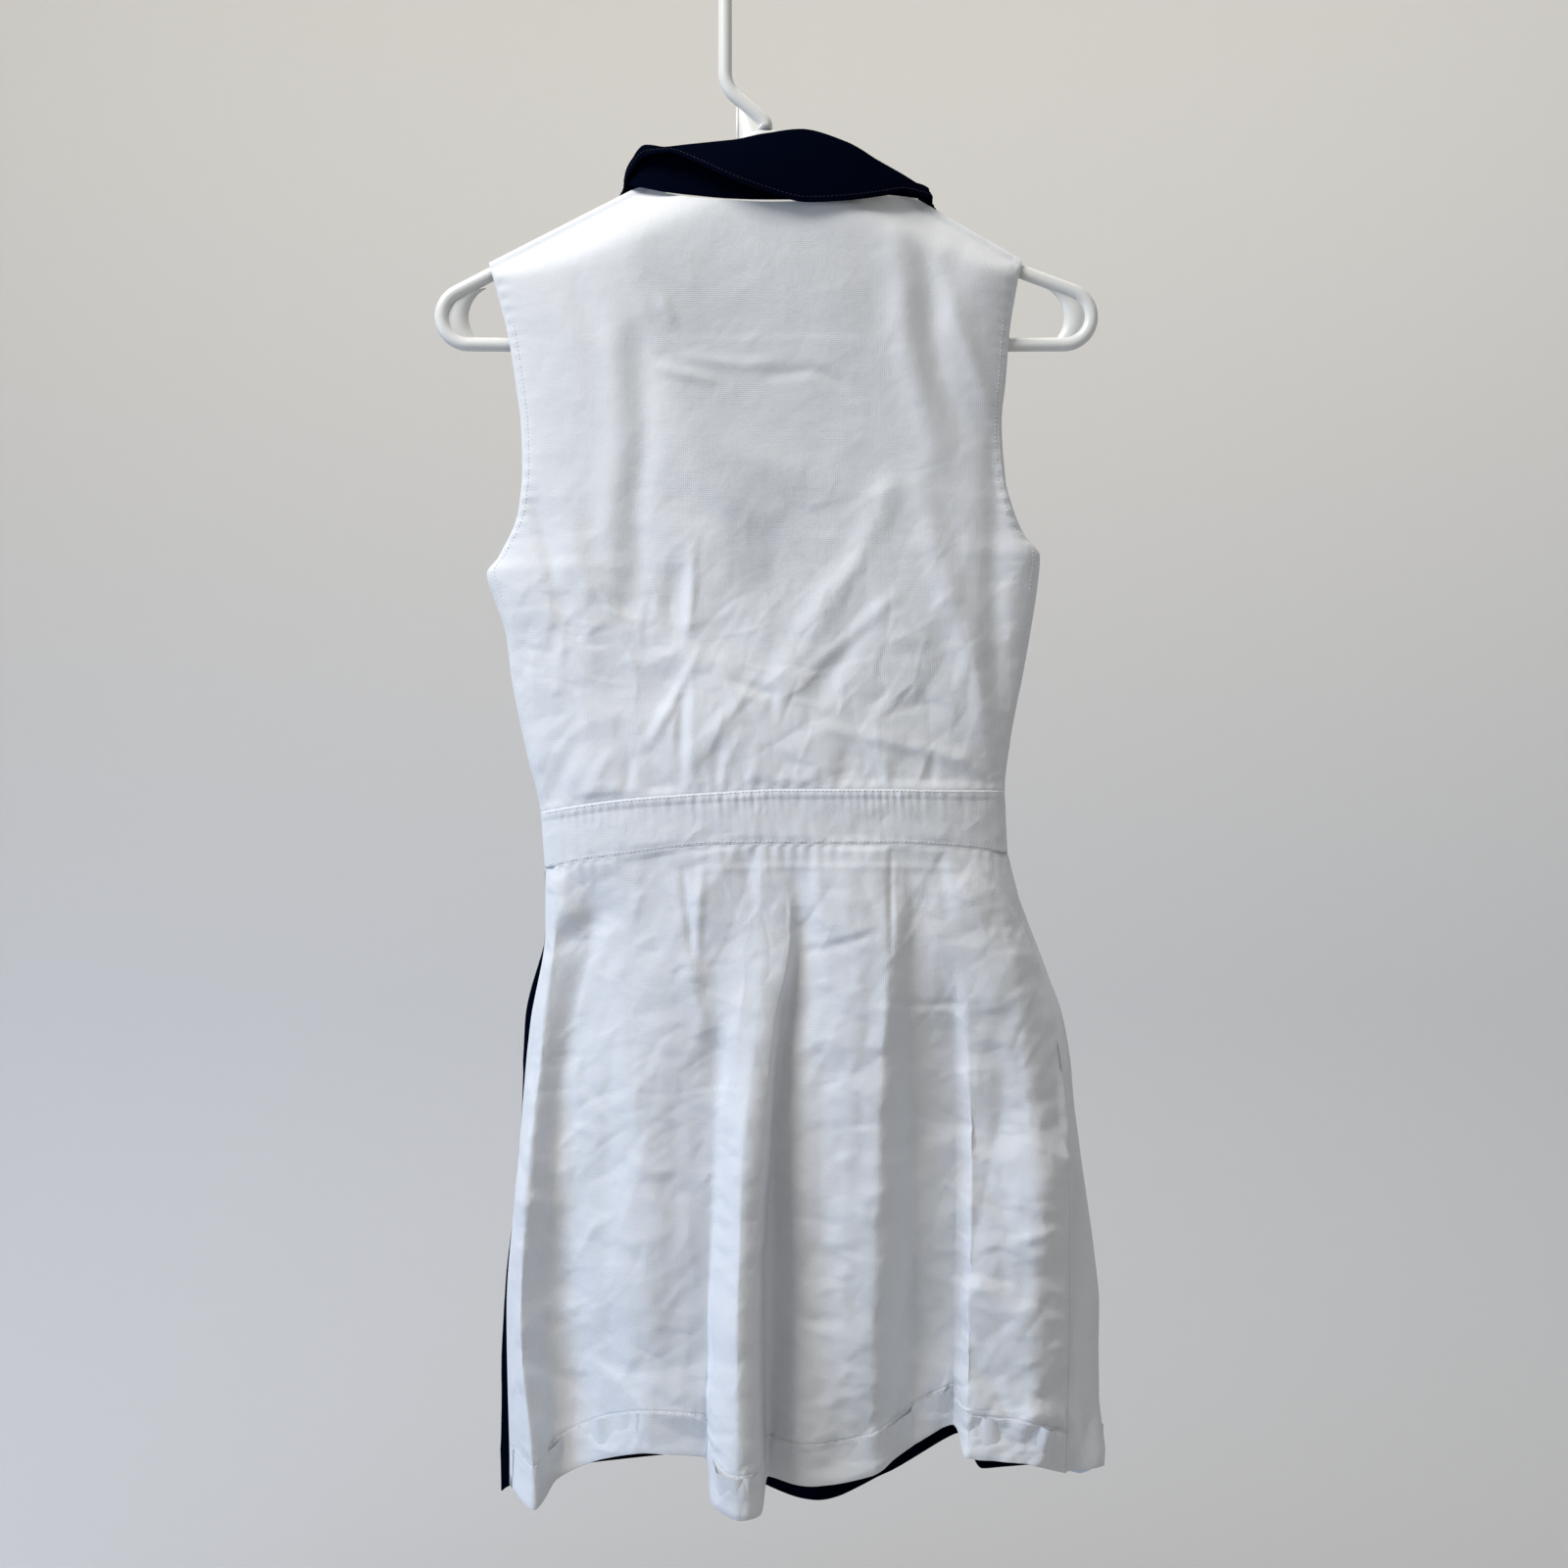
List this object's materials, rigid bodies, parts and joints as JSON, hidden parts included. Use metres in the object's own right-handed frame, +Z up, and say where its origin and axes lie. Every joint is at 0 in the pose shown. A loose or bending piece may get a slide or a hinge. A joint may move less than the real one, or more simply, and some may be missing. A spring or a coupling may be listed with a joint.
{
  "type": "golf dress on a hanger",
  "caption": "Short sleeveless dress with a turned-down navy collar, waistband and flared skirt, hanging by its shoulders on a tubular hanger.",
  "frame": {"origin": "inside top of the hanger's hook, where a rail carries it", "axes": "+Z up; the back of the dress faces -Y and its front +Y; +X is to the right when looking at the back"},
  "size_m": [0.4213, 0.112, 1.0048],
  "materials": {
    "cotton_white": "fine plain weave, matte",
    "cotton_navy": "fine plain weave, matte",
    "hanger_white": "satin"
  },
  "bodies": {
    "root": {"bodice_back": "cotton_white", "bodice_front_left": "cotton_white", "bodice_front_right": "cotton_white", "waistband_back": "cotton_white", "waistband_front": "cotton_white", "skirt_back": "cotton_white", "skirt_front_side": "cotton_white", "skirt_front_navy": "cotton_navy", "collar_stand": "cotton_navy", "collar_fall": "cotton_navy", "hanger_arm_left": "hanger_white", "hanger_arm_right": "hanger_white", "hanger_bar": "hanger_white", "hanger_hook": "hanger_white", "hanger_web_left": "hanger_white", "hanger_web_right": "hanger_white"}
  },
  "joints": []
}
